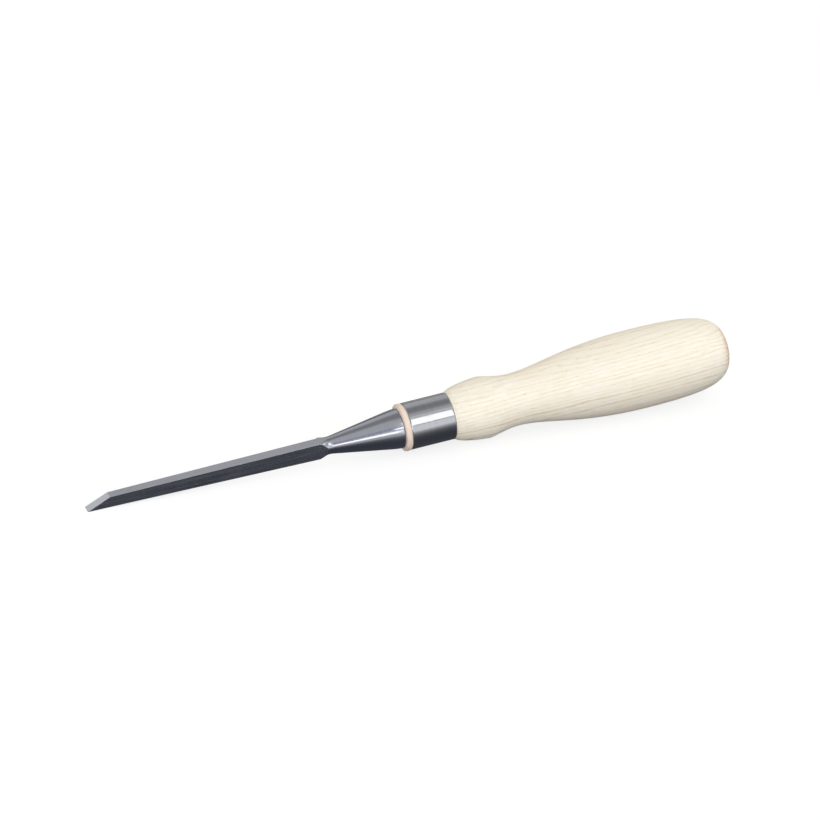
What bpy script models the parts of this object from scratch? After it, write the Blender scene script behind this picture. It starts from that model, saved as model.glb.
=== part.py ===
"""Bevel edge chisel: a forged blade, a leather washer, a steel ferrule and a turned ash handle.

Lengths are in metres. Each piece is modelled along the tool's axis: +X runs from the cutting edge to the
butt, and +Z points to the top of the blade. One empty carries the pieces and lays the chisel down, so that
it rests on its cutting edge and on the swell of its handle.
"""

import math

import bmesh
import bpy
from mathutils import Matrix, Vector
from mathutils.geometry import interpolate_bezier

# Blade: the back is the flat face underneath, and the lands are the narrow upright strips beside it.
BLADE_LENGTH = 0.0970
EDGE_WIDTH = 0.0040
HEEL_WIDTH = 0.0050
EDGE_THICKNESS = 0.0044
HEEL_THICKNESS = 0.0070
LAND_HEIGHT = 0.0010
SIDE_INSET = 0.00015
BEVEL_ANGLE = math.radians(26.0)
BACK_CANT = math.radians(1.3)
EDGE_DROP = 0.0015

# Shoulders, neck, bolster and tang
SHOULDER_LENGTH = 0.0033
NECK_DIAMETER = 0.0071
NECK_LIFT = 0.00025
NECK_LENGTH = 0.0017
NECK_BLEND = 0.0100
BOLSTER_LENGTH = 0.0312
BOLSTER_DIAMETER = 0.0163
RIM_LENGTH = 0.0040
RIM_TAPER = math.radians(6.0)
RIM_BLEND = 0.0600
RIM_ROUND = 0.0004
TANG_LENGTH = 0.0680
TANG_ROOT_WIDTH = 0.0064
TANG_END_WIDTH = 0.0030

# Washer and ferrule
WASHER_THICKNESS = 0.0019
WASHER_ROUND = 0.0004
FERRULE_LENGTH = 0.0184
FERRULE_DIAMETER = 0.0190
FERRULE_WALL = 0.0012
FERRULE_ROUND = 0.0003

# Handle: a collar rises to a ridge behind the ferrule, a cove leads to the waist, and the grip swells.
COLLAR_LENGTH = 0.0141
COVE_LENGTH = 0.0127
GRIP_LENGTH = 0.0524
BUTT_LENGTH = 0.0381
RIDGE_DIAMETER = 0.0249
WAIST_DIAMETER = 0.0210
SWELL_DIAMETER = 0.0321

# How far each curve of the handle's outline keeps the direction that it starts or ends with
COLLAR_PULL = 0.0029
RIDGE_PULL = 0.0016
WAIST_COVE_PULL = 0.0054
WAIST_GRIP_PULL = 0.0123
SWELL_GRIP_PULL = 0.0280
SWELL_BUTT_PULL = 0.0328
BUTT_PULL = 0.0130
COLLAR_START_ANGLE = math.radians(47.0)

# Clearance between pieces that fit each other, and spare length on cutters and on the unground blade
SEAT_GAP = 0.0003
SPARE = 0.0030

# Fineness of the solids
BACK_STEPS = 12
LAND_STEPS = 2
SIDE_STEPS = 12
SHOULDER_RINGS = 6
ROUND_RINGS = 4
TURNED_STEPS = 48
CURVE_POINTS = 12
EDGE_STEPS = 2
EDGE_ANGLE = math.radians(60.0)
SHARP_ANGLE = math.radians(20.0)
MERGE_DISTANCE = 0.00001

# A Bezier curve follows an arc when its handles measure this times the radius and the tangent of a quarter
# of the arc's angle.
ARC_HANDLE = 4 / 3

# The tang and its bore are square.
TANG_SIDES = 4

# Stations along the axis, from the cutting edge
NECK_STATION = BLADE_LENGTH + SHOULDER_LENGTH
BOLSTER_STATION = NECK_STATION + BOLSTER_LENGTH
WASHER_STATION = BOLSTER_STATION + SEAT_GAP
FERRULE_STATION = WASHER_STATION + WASHER_THICKNESS + SEAT_GAP

# Steps along each side of a blade section: back, right land, right side, top, left side, left land
RING_STEPS = (BACK_STEPS, LAND_STEPS, SIDE_STEPS, BACK_STEPS, SIDE_STEPS, LAND_STEPS)


def clear_scene():
    for obj in list(bpy.data.objects):
        bpy.data.objects.remove(obj, do_unlink=True)


def new_collection(name):
    collection = bpy.data.collections.new(name)
    bpy.context.scene.collection.children.link(collection)
    return collection


def new_material(name, colour, roughness, metallic):
    material = bpy.data.materials.new(name)
    material.use_nodes = True
    shader = material.node_tree.nodes["Principled BSDF"]
    shader.inputs["Base Color"].default_value = (*colour, 1.0)
    shader.inputs["Roughness"].default_value = roughness
    shader.inputs["Metallic"].default_value = metallic
    return material


def new_object(name, mesh, collection, axis, station):
    """An object on the tool's axis, with its origin at a station from the cutting edge."""
    obj = bpy.data.objects.new(name, mesh)
    collection.objects.link(obj)
    obj.parent = axis
    obj.location.x = station
    return obj


def new_cutter(name, shape, collection, axis, station):
    """A helper that cuts a piece and isn't one itself."""
    mesh = bpy.data.meshes.new(name)
    bmesh.ops.recalc_face_normals(shape, faces=shape.faces)
    shape.to_mesh(mesh)
    shape.free()
    cutter = new_object(name, mesh, collection, axis, station)
    cutter.hide_render = True
    cutter.display_type = "WIRE"
    return cutter


def cut(obj, cutter):
    modifier = obj.modifiers.new(cutter.name, "BOOLEAN")
    modifier.operation = "DIFFERENCE"
    modifier.solver = "EXACT"
    modifier.object = cutter


def turned(name, outline, is_ring, collection, axis, station):
    """A piece turned on the lathe: an outline of (along, radius) points, swept once round the axis."""
    points = [(along, 0.0, radius) for along, radius in outline]
    edges = [(i, i + 1) for i in range(len(points) - 1)]
    if is_ring:
        edges.append((len(points) - 1, 0))
    mesh = bpy.data.meshes.new(name)
    mesh.from_pydata(points, edges, [])
    obj = new_object(name, mesh, collection, axis, station)
    screw = obj.modifiers.new("turning", "SCREW")
    screw.axis = "X"
    screw.steps = TURNED_STEPS
    screw.render_steps = TURNED_STEPS
    screw.use_merge_vertices = True
    screw.merge_threshold = MERGE_DISTANCE
    screw.use_normal_flip = True
    screw.use_smooth_shade = True
    return obj


def round_edges(obj, radius):
    bevel = obj.modifiers.new("rounded edges", "BEVEL")
    bevel.width = radius
    bevel.segments = EDGE_STEPS
    bevel.limit_method = "ANGLE"
    bevel.angle_limit = EDGE_ANGLE


def back_height(along):
    """Height of the blade's flat back, which falls away from the axis towards the heel."""
    return -EDGE_DROP - along * math.tan(BACK_CANT)


def along_blade(along, at_edge, at_heel):
    """A size that changes evenly from the cutting edge to the heel."""
    return at_edge + (at_heel - at_edge) * along / BLADE_LENGTH


def ring_on_corners(along, corners):
    """Points round a polygon of (across, height) corners, evenly spaced along each side."""
    ring = []
    for start, end, steps in zip(corners, corners[1:] + corners[:1], RING_STEPS):
        start_point = Vector((along, *start))
        end_point = Vector((along, *end))
        ring += [start_point.lerp(end_point, step / steps) for step in range(steps)]
    return ring


def blade_corners(along):
    """Corners of the blade's section: a flat back, upright lands, leaning sides and a narrower top."""
    half = along_blade(along, EDGE_WIDTH, HEEL_WIDTH) / 2
    half_top = half - SIDE_INSET
    back = back_height(along)
    land = back + LAND_HEIGHT
    top = back + along_blade(along, EDGE_THICKNESS, HEEL_THICKNESS)
    return [(-half, back), (half, back), (half, land), (half_top, top), (-half_top, top), (-half, land)]


def square_corners(width):
    """Corners of a square section, with a point on each upright side that pairs with the top of a land."""
    half = width / 2
    land = half * (2 * LAND_STEPS / (LAND_STEPS + SIDE_STEPS) - 1)
    return [(-half, -half), (half, -half), (half, land), (half, half), (-half, half), (-half, land)]


def cut_round(ring, radius):
    """Pulls in to a circle round the axis every point of a ring that lies outside it."""
    for point in ring:
        distance = math.hypot(point.y, point.z)
        if distance > radius:
            point.y *= radius / distance
            point.z *= radius / distance
    return ring


def lifted(ring, lift):
    """Raises a ring above the axis."""
    return [point + Vector((0.0, 0.0, lift)) for point in ring]


def bolster_ring(along, radius):
    """A circle, which is a square of its width cut round, raised most at the neck and not at the base."""
    lift = NECK_LIFT * (BOLSTER_STATION - along) / BOLSTER_LENGTH
    return lifted(cut_round(ring_on_corners(along, square_corners(2 * radius)), radius), lift)


def shoulder_rings():
    """Rings from the heel to the neck, where a turned cone narrows as the flat faces spread.

    The cone cuts the corners away, so each side of the blade runs out in an arrowhead.
    """
    heel = blade_corners(BLADE_LENGTH)
    neck = square_corners(NECK_DIAMETER)
    heel_radius = max(math.hypot(across, height) for across, height in heel)
    rings = []
    for index in range(1, SHOULDER_RINGS + 1):
        share = index / SHOULDER_RINGS
        along = BLADE_LENGTH + share * SHOULDER_LENGTH
        corners = [Vector(start).lerp(Vector(end), share) for start, end in zip(heel, neck)]
        radius = heel_radius + (NECK_DIAMETER / 2 - heel_radius) * share
        rings.append(lifted(cut_round(ring_on_corners(along, corners), radius), share * NECK_LIFT))
    return rings


def rounded_corner(before, corner, after, radius):
    """Points of the arc that rounds the corner between two straight stretches."""
    arriving = (corner - before).normalized()
    leaving = (after - corner).normalized()
    turn = arriving.angle(leaving)
    start = corner - radius * math.tan(turn / 2) * arriving
    end = corner + radius * math.tan(turn / 2) * leaving
    handle = radius * ARC_HANDLE * math.tan(turn / 4)
    curve = (start, start + handle * arriving, end - handle * leaving, end)
    return interpolate_bezier(*curve, ROUND_RINGS + 1)


def bolster_rings():
    """Rings of the turned stretch behind the neck: a cone that eases into a flatter run at its rim."""
    neck = Vector((NECK_STATION, NECK_DIAMETER / 2, 0.0))
    cone_start = Vector((NECK_STATION + NECK_LENGTH, NECK_DIAMETER / 2, 0.0))
    rim_rise = RIM_LENGTH * math.tan(RIM_TAPER)
    cone_end = Vector((BOLSTER_STATION - RIM_LENGTH, BOLSTER_DIAMETER / 2 - rim_rise, 0.0))
    rim = Vector((BOLSTER_STATION, BOLSTER_DIAMETER / 2, 0.0))
    base = Vector((BOLSTER_STATION, TANG_ROOT_WIDTH / 2, 0.0))
    outline = rounded_corner(neck, cone_start, cone_end, NECK_BLEND)
    outline += rounded_corner(cone_start, cone_end, rim, RIM_BLEND)
    outline += rounded_corner(cone_end, rim, base, RIM_ROUND)
    return [bolster_ring(point.x, point.y) for point in outline]


def loft(rings):
    """One closed mesh through rings of equal count, with a cap on the first and the last."""
    shape = bmesh.new()
    loops = [[shape.verts.new(point) for point in ring] for ring in rings]
    for loop, following in zip(loops, loops[1:]):
        for index in range(len(loop)):
            before = index - 1
            shape.faces.new((loop[before], loop[index], following[index], following[before]))
    shape.faces.new(loops[0])
    shape.faces.new(loops[-1])
    bmesh.ops.recalc_face_normals(shape, faces=shape.faces)
    return shape


def make_blade(collection, cutters, axis, material):
    """The forging: blade, shoulders, neck, bolster and tang in one loft, ground to its cutting bevel."""
    rings = [ring_on_corners(along, blade_corners(along)) for along in (-SPARE, BLADE_LENGTH)]
    rings += shoulder_rings()
    rings += bolster_rings()
    tang_end = BOLSTER_STATION + TANG_LENGTH
    rings.append(ring_on_corners(BOLSTER_STATION, square_corners(TANG_ROOT_WIDTH)))
    rings.append(ring_on_corners(tang_end, square_corners(TANG_END_WIDTH)))
    shape = loft(rings)
    mesh = bpy.data.meshes.new("blade")
    shape.to_mesh(mesh)
    shape.free()
    mesh.materials.append(material)
    mesh.shade_smooth()
    mesh.set_sharp_from_angle(angle=SHARP_ANGLE)
    blade = new_object("blade", mesh, collection, axis, 0.0)
    cut(blade, make_bevel_grinder(cutters, axis))


def make_bevel_grinder(cutters, axis):
    """A block whose underside is the plane of the cutting bevel, through the cutting edge."""
    length = 2 * SPARE + EDGE_THICKNESS / math.sin(BEVEL_ANGLE - BACK_CANT)
    width = 2 * SPARE + EDGE_WIDTH
    height = 2 * SPARE + EDGE_THICKNESS
    shape = bmesh.new()
    centre = Matrix.Translation((length / 2 - SPARE, 0.0, height / 2))
    size = Matrix.Diagonal((length, width, height, 1.0))
    bmesh.ops.create_cube(shape, size=1.0, matrix=centre @ size)
    grinder = new_cutter("bevel_grinder", shape, cutters, axis, 0.0)
    grinder.location.z = -EDGE_DROP
    grinder.rotation_euler.y = BACK_CANT - BEVEL_ANGLE
    return grinder


def make_washer(collection, axis, material):
    """The leather ring, trimmed flush with the ferrule and bored to clear the corners of the tang."""
    outer = FERRULE_DIAMETER / 2
    inner = TANG_ROOT_WIDTH / math.sqrt(2) + SEAT_GAP
    outline = [(0.0, outer), (WASHER_THICKNESS, outer), (WASHER_THICKNESS, inner), (0.0, inner)]
    washer = turned("leather_washer", outline, True, collection, axis, WASHER_STATION)
    round_edges(washer, WASHER_ROUND)
    washer.data.materials.append(material)


def make_ferrule(collection, axis, material):
    outer = FERRULE_DIAMETER / 2
    inner = outer - FERRULE_WALL
    outline = [(0.0, outer), (FERRULE_LENGTH, outer), (FERRULE_LENGTH, inner), (0.0, inner)]
    ferrule = turned("ferrule", outline, True, collection, axis, FERRULE_STATION)
    round_edges(ferrule, FERRULE_ROUND)
    ferrule.data.materials.append(material)


def handle_outline():
    """Outline of the handle from the front of its tenon to its butt, as (along, radius) points."""
    tenon = FERRULE_DIAMETER / 2 - FERRULE_WALL - SEAT_GAP
    shoulder = Vector((FERRULE_LENGTH + SEAT_GAP, FERRULE_DIAMETER / 2, 0.0))
    ridge = Vector((shoulder.x + COLLAR_LENGTH, RIDGE_DIAMETER / 2, 0.0))
    waist = Vector((ridge.x + COVE_LENGTH, WAIST_DIAMETER / 2, 0.0))
    swell = Vector((waist.x + GRIP_LENGTH, SWELL_DIAMETER / 2, 0.0))
    butt = Vector((swell.x + BUTT_LENGTH, 0.0, 0.0))
    forward = Vector((1.0, 0.0, 0.0))
    outward = Vector((0.0, 1.0, 0.0))
    collar = Vector((math.cos(COLLAR_START_ANGLE), math.sin(COLLAR_START_ANGLE), 0.0))
    curves = (
        (shoulder, shoulder + COLLAR_PULL * collar, ridge - RIDGE_PULL * forward, ridge),
        (ridge, ridge + RIDGE_PULL * forward, waist - WAIST_COVE_PULL * forward, waist),
        (waist, waist + WAIST_GRIP_PULL * forward, swell - SWELL_GRIP_PULL * forward, swell),
        (swell, swell + SWELL_BUTT_PULL * forward, butt + BUTT_PULL * outward, butt),
    )
    outline = [(0.0, 0.0), (0.0, tenon), (shoulder.x, tenon), (shoulder.x, shoulder.y)]
    for curve in curves:
        outline += [(point.x, point.y) for point in interpolate_bezier(*curve, CURVE_POINTS)[1:]]
    return outline


def make_handle(collection, cutters, axis, material):
    handle = turned("handle", handle_outline(), False, collection, axis, FERRULE_STATION)
    handle.data.materials.append(material)
    cut(handle, make_tang_bore(cutters, axis))


def make_tang_bore(cutters, axis):
    """The tapered square hole in the handle: the tang with its clearance, carried on to both ends."""
    taper = (TANG_ROOT_WIDTH - TANG_END_WIDTH) / TANG_LENGTH
    mouth = FERRULE_STATION - SPARE
    end = BOLSTER_STATION + TANG_LENGTH + SEAT_GAP
    mouth_width = TANG_ROOT_WIDTH - taper * (mouth - BOLSTER_STATION) + 2 * SEAT_GAP
    end_width = TANG_END_WIDTH - taper * SEAT_GAP + 2 * SEAT_GAP
    turn = Matrix.Rotation(math.pi / 2, 4, "Y") @ Matrix.Rotation(math.pi / 4, 4, "Z")
    shape = bmesh.new()
    bmesh.ops.create_cone(
        shape,
        cap_ends=True,
        segments=TANG_SIDES,
        radius1=mouth_width / math.sqrt(2),
        radius2=end_width / math.sqrt(2),
        depth=end - mouth,
        matrix=turn,
    )
    return new_cutter("tang_bore", shape, cutters, axis, (mouth + end) / 2)


def lay_down(axis):
    """Turns and lifts the axis so that the cutting edge and the handle's swell both touch the ground."""
    outline = [(FERRULE_STATION + along, radius) for along, radius in handle_outline()]
    tilt = max(math.atan2(radius - EDGE_DROP, along) for along, radius in outline)
    tip = EDGE_DROP * math.sin(tilt)
    butt = max(along * math.cos(tilt) + radius * math.sin(tilt) for along, radius in outline)
    axis.rotation_euler.y = -tilt
    axis.location = (-(tip + butt) / 2, 0.0, EDGE_DROP * math.cos(tilt))


def main():
    clear_scene()
    parts = new_collection("bevel_edge_chisel")
    cutters = new_collection("cutters")
    axis = bpy.data.objects.new("tool_axis", None)
    parts.objects.link(axis)
    lay_down(axis)
    blade_steel = new_material("blade_steel", (0.30, 0.31, 0.34), 0.25, 1.0)
    washer_leather = new_material("washer_leather", (0.77, 0.64, 0.54), 0.70, 0.0)
    ferrule_steel = new_material("ferrule_steel", (0.30, 0.31, 0.32), 0.14, 1.0)
    handle_ash = new_material("handle_ash", (0.90, 0.83, 0.70), 0.50, 0.0)
    make_blade(parts, cutters, axis, blade_steel)
    make_washer(parts, axis, washer_leather)
    make_ferrule(parts, axis, ferrule_steel)
    make_handle(parts, cutters, axis, handle_ash)


main()
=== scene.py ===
# %% [markdown]
# # A bevel edge chisel, dressed
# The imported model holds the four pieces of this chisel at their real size: a forged blade, a leather
# washer, a steel ferrule and a turned ash handle. This lesson gives each of them the surface and the
# finish of the real piece. Nothing is moved or resized, because every new surface takes its place from
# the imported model, which is loaded first. Lengths are in metres.

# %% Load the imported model
import math

import bpy
import numpy as np
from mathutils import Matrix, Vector


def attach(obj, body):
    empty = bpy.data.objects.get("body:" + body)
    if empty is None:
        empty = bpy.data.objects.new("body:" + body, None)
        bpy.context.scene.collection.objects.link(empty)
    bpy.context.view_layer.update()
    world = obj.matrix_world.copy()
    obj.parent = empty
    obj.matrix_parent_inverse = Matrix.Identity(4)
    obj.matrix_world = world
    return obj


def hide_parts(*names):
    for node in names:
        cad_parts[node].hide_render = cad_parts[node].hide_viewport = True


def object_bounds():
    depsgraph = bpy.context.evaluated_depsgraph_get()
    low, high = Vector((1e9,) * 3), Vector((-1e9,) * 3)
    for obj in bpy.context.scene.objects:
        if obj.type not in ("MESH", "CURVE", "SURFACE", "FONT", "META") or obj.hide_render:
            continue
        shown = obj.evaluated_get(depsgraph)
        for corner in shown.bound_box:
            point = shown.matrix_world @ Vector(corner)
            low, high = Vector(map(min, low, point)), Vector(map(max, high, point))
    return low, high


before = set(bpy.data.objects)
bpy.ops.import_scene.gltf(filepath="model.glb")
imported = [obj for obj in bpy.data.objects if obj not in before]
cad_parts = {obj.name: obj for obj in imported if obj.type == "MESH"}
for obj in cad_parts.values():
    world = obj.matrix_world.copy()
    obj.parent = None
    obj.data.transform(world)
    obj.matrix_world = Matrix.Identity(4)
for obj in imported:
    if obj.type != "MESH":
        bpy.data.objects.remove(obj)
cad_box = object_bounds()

mm = 0.001
print("packed pieces:", ", ".join(sorted(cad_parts)))

# %% [markdown]
# ## The lathe's axis
# The chisel lies tilted, on its cutting edge and on the swell of its handle, yet everything on it was made
# along one straight line: the axis that the handle was turned on. That line could be typed in as numbers.
# Measuring it is safer. The handle is long and round, so the direction in which its points spread most is
# the axis. Each surface below is worked out in the tool's own frame, with x along the axis from the
# cutting edge, y across and z up, and is carried to its place at the end.

# %% Measure the axis from the turned handle
same_point_digits = 7


def mesh_points(mesh):
    """The points of a mesh, one in each row."""
    points = np.empty(3 * len(mesh.vertices))
    mesh.vertices.foreach_get("co", points)
    return points.reshape(-1, 3)


def node_points(node):
    """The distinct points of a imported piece."""
    return np.unique(mesh_points(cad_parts[node].data).round(same_point_digits), axis=0)


handle_points = node_points("handle")
handle_middle = handle_points.mean(axis=0)
axis_along = np.linalg.svd(handle_points - handle_middle, full_matrices=False)[2][0]
axis_along = axis_along * np.sign(axis_along[0])
axis_across = np.array([0.0, 1.0, 0.0])
axis_up = np.cross(axis_along, axis_across)
tool_turn = np.stack([axis_along, axis_across, axis_up])
edge_along = ((node_points("blade") - handle_middle) @ axis_along).min()
edge_on_axis = handle_middle + edge_along * axis_along
tilt = math.atan2(axis_along[2], axis_along[0])


def to_tool(points):
    """World points in the tool's frame: measured from the edge, along the axis, across and up."""
    return (points - edge_on_axis) @ tool_turn.T


def to_world(points):
    """Points of the tool's frame, carried back to where the chisel lies."""
    return edge_on_axis + points @ tool_turn


print(f"the axis rises {math.degrees(tilt):.2f} degrees towards the butt")

# %% [markdown]
# ## Where each turned piece sits
# A turned piece is known by two stations on the axis and its radii. They are measured from the packed
# pieces, so the washer, the ferrule and the handle stay where the imported model has them.

# %% Measure the turned pieces
def turned_size(node):
    """Front and rear stations of a turned piece, and its least and greatest distance from the axis."""
    tool = to_tool(node_points(node))
    radius = np.hypot(tool[:, 1], tool[:, 2])
    return tool[:, 0].min(), tool[:, 0].max(), radius.min(), radius.max()


washer_front, washer_rear, washer_bore, washer_radius = turned_size("leather_washer")
ferrule_front, ferrule_rear, ferrule_bore, ferrule_radius = turned_size("ferrule")
handle_front, handle_butt = turned_size("handle")[:2]
for name, front, rear in (
    ("washer", washer_front, washer_rear),
    ("ferrule", ferrule_front, ferrule_rear),
    ("handle", handle_front, handle_butt),
):
    print(f"{name} runs from {front / mm:.1f} to {rear / mm:.1f} mm behind the cutting edge")

# %% [markdown]
# ## From rings of points to a mesh
# Every piece of this chisel is a stack of rings round the axis. A ring may be a circle, a square or the
# section of a blade. A grid of points, ring by ring, becomes a closed mesh with plain index arithmetic:
# each point is joined to its neighbour on the ring and to the same two points of the next ring. A stack
# that ends is closed by one point in the middle of its last ring, and a washer's stack closes on itself.
# The volume inside the faces is printed, and it is positive only when they all point outwards.

# %% Make a closed mesh from a stack of rings
sharp_corner = math.radians(40.0)
cubic_centimetre = 1e-6


def new_object(name, data):
    """A new object in the scene, which shows a mesh, a lamp or a camera."""
    thing = bpy.data.objects.new(name, data)
    bpy.context.scene.collection.objects.link(thing)
    return thing


def new_mesh_object(name, points, faces):
    """A new object in the scene, with a mesh of these points and faces."""
    mesh = bpy.data.meshes.new(name)
    mesh.from_pydata(points.tolist(), [], faces)
    return new_object(name, mesh)


def quads_between(rings, next_rings):
    """Four-sided faces from each ring of point numbers to the next one, pointing outwards."""
    corners = [rings, np.roll(rings, -1, axis=1), np.roll(next_rings, -1, axis=1), next_rings]
    return np.stack(corners, axis=-1).reshape(-1, 4)


def enclosed_volume(mesh):
    """A sixth of the sum, over the triangles, of the corners' triple product."""
    mesh.calc_loop_triangles()
    triangles = np.empty(3 * len(mesh.loop_triangles), dtype=int)
    mesh.loop_triangles.foreach_get("vertices", triangles)
    first, second, third = mesh_points(mesh)[triangles.reshape(-1, 3)].transpose(1, 0, 2)
    return (first * np.cross(second, third)).sum() / 6


def piece_from_rings(name, rings, marks, closes_on_itself=False):
    """A piece from an array of rings in the tool's frame, with a value at each point for each mark."""
    count, around = rings.shape[:2]
    numbers = np.arange(count * around).reshape(count, around)
    points = rings.reshape(-1, 3)
    marks = {mark: np.broadcast_to(values, numbers.shape).reshape(-1) for mark, values in marks.items()}
    if closes_on_itself:
        faces = quads_between(numbers, np.roll(numbers, -1, axis=0)).tolist()
    else:
        start, end = count * around, count * around + 1
        points = np.vstack([points, rings[0].mean(axis=0), rings[-1].mean(axis=0)])
        first, last = numbers[0], numbers[-1]
        front = np.stack([np.full(around, start), np.roll(first, -1), first], axis=-1)
        rear = np.stack([np.full(around, end), last, np.roll(last, -1)], axis=-1)
        faces = quads_between(numbers[:-1], numbers[1:]).tolist() + front.tolist() + rear.tolist()
        marks = {mark: np.append(values, values[[0, -1]]) for mark, values in marks.items()}
    piece = new_mesh_object(name, to_world(points), faces)
    mesh = piece.data
    mesh.shade_smooth()
    mesh.set_sharp_from_angle(angle=sharp_corner)
    for mark, values in marks.items():
        mesh.attributes.new(mark, "FLOAT", "POINT").data.foreach_set("value", values)
    volume = enclosed_volume(mesh) / cubic_centimetre
    print(f"{name}: {len(mesh.loop_triangles)} triangles round {volume:.2f} cubic centimetres")
    return piece


# %% [markdown]
# ## Outlines with rounded corners
# On the real pieces no corner is perfectly sharp: a file, a cloth or a thumb has taken it off, and the thin
# line of light that such a corner catches is what makes it look made. So an outline is given by its
# corners and a radius for each one, and the arcs are worked out. A turned piece then spins its outline
# round the axis.

# %% Outlines and turning
arc_points = 13


def rounded_corner(before, corner, after, radius):
    """An arc in place of a corner: start + radius * (sin(a) * arriving + (1 - cos(a)) * inward)."""
    arriving = (corner - before) / np.linalg.norm(corner - before)
    leaving = (after - corner) / np.linalg.norm(after - corner)
    turn = math.acos(np.clip(arriving @ leaving, -1.0, 1.0))
    inward = (leaving - math.cos(turn) * arriving) / math.sin(turn)
    start = corner - radius * math.tan(turn / 2) * arriving
    sweep = np.linspace(0.0, turn, arc_points)[:, None]
    return start + radius * (np.sin(sweep) * arriving + (1.0 - np.cos(sweep)) * inward)


def rounded_outline(corners, radii):
    """An outline of (along, radius) points through the corners, each one rounded by its own radius."""
    corners = np.array(corners)
    near = zip(np.roll(corners, 1, axis=0), corners, np.roll(corners, -1, axis=0), radii)
    arcs = [rounded_corner(*corner) if corner[3] else corner[1][None] for corner in near]
    return np.vstack(arcs)


def filled_in(outline, longest):
    """The same outline with more points on it, so that none is further than a length from the next."""
    travelled = np.append(0.0, np.cumsum(np.linalg.norm(np.diff(outline, axis=0), axis=1)))
    stops = np.unique(np.append(travelled, np.arange(0.0, travelled[-1], longest)))
    return np.column_stack([np.interp(stops, travelled, column) for column in outline.T])


def tube_outline(front, rear, outer, bore, corner, longest):
    """The closed outline of a tube's wall, whose inner corners are half as round as its outer ones."""
    corners = [(front, outer), (rear, outer), (rear, bore), (front, bore)]
    outline = rounded_outline(corners, [corner, corner, corner / 2, corner / 2])
    return filled_in(np.vstack([outline, outline[:1]]), longest)[:-1]


def round_the_axis(outline, directions):
    """Rings that carry each (along, radius) point of an outline round the axis."""
    rings = np.empty((len(outline), len(directions), 3))
    rings[..., 0] = outline[:, :1]
    rings[..., 1:] = outline[:, 1, None, None] * directions
    return rings


def even_directions(count):
    """Unit directions across and up, spread evenly round the axis."""
    angle = np.linspace(0.0, 2 * math.pi, count, endpoint=False)
    return np.column_stack([np.cos(angle), np.sin(angle)])


print("each corner is rounded by", arc_points, "points")

# %% [markdown]
# ## The forging: sizes
# Blade, shoulders, neck, bolster and tang are one piece of steel. The smith forges it, the grinder gives it
# flat faces, and the lathe turns the cone of the bolster. The back falls away from the axis by a little
# more than a degree. The blade's sides stand almost upright on this narrow size, on two low lands.

# %% Sizes of the forging
blade_length = 97.0 * mm
edge_width, heel_width = 4.0 * mm, 5.0 * mm
edge_thickness, heel_thickness = 4.4 * mm, 7.0 * mm
land_height = 1.0 * mm
side_inset = 0.15 * mm
bevel_angle = math.radians(26.0)
back_cant = math.radians(1.3)
edge_drop = 1.5 * mm
keen_edge = 0.03 * mm
bevel_line_round = 0.05 * mm
shoulder_length, shoulder_fillet = 3.3 * mm, 6.0 * mm
neck_radius, neck_length, neck_blend = 3.55 * mm, 1.7 * mm, 10.0 * mm
neck_lift = 0.25 * mm
rim_radius, rim_length, rim_taper = 8.15 * mm, 4.0 * mm, math.radians(6.0)
rim_blend, rim_round = 60.0 * mm, 0.4 * mm
tang_root, tang_end = 3.2 * mm, 1.5 * mm
base_inner = 1.5 * tang_root

blade_tool = to_tool(node_points("blade"))
blade_radius = np.hypot(blade_tool[:, 1], blade_tool[:, 2])
wider_than_tang = blade_radius > 2 * tang_root
bolster_base = blade_tool[wider_than_tang, 0].max()
tang_tip = blade_tool[:, 0].max()
neck_station = blade_length + shoulder_length
bevel_length = edge_thickness / (math.tan(bevel_angle - back_cant) + math.tan(back_cant))
print(f"the cutting bevel is {bevel_length / mm:.1f} mm long")
print(f"the rim is {2 * blade_radius.max() / mm:.1f} mm wide, {bolster_base / mm:.1f} mm behind the edge")

# %% [markdown]
# ## The forging: one formula
# The blade could be lofted from section to section by hand. It is shorter to say what stops the steel at
# each station: a plane for the back, one for the top or the cutting bevel, two for the sides, and a turned
# surface that narrows to the neck and then opens into the cone. Along any direction from the section's
# middle the steel ends at the nearest of these. The plain nearest one would give razor-sharp corners all
# over, so a soft nearest is taken, the power mean of the limits, which leaves each corner a tenth of a
# millimetre round. Where the planes spread past the turned surface, the sides run out in an arrowhead.

# %% Limits of the steel along the blade
exponent_limit = 50.0


def soft_least(first, second, rounding):
    """The lesser of two, rounded where they cross: half of sum - sqrt(difference^2 + rounding^2)."""
    return (first + second - np.sqrt((first - second) ** 2 + rounding**2)) / 2


def blade_planes(along):
    """Half width, back, top and land of the blade at each station, evenly tapered from edge to heel."""
    share = along / blade_length
    half = (edge_width + (heel_width - edge_width) * share) / 2
    back = -edge_drop - along * math.tan(back_cant)
    top = back + edge_thickness + (heel_thickness - edge_thickness) * share
    return half, back, top, back + land_height


def forging_limits(along):
    """The planes at each station: the blade's, then spreading to a square round the neck, then away."""
    half, back, top, land = blade_planes(np.minimum(along, blade_length))
    bevel = -edge_drop + keen_edge + along * math.tan(bevel_angle - back_cant)
    ground_top = soft_least(top, bevel, bevel_line_round)
    lean = side_inset / (top - land)
    spread = np.clip((along - blade_length) / shoulder_length, 0.0, 1.0)
    leaving = np.maximum(along - neck_station, 0.0)
    half = half + (neck_radius - half) * spread + leaving
    back = back - (neck_radius + back) * spread - leaving
    ground_top = ground_top + (neck_radius - ground_top) * spread + leaving
    past_bevel = np.clip((bevel - top) / bevel_line_round, -exponent_limit, exponent_limit)
    is_bevel = 1.0 / (1.0 + np.exp(past_bevel))
    return half, back, ground_top, land, lean * (1.0 - spread), is_bevel * (1.0 - spread)


print(f"the blade tapers from {heel_thickness / mm:.1f} to {edge_thickness / mm:.1f} mm in thickness")

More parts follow.
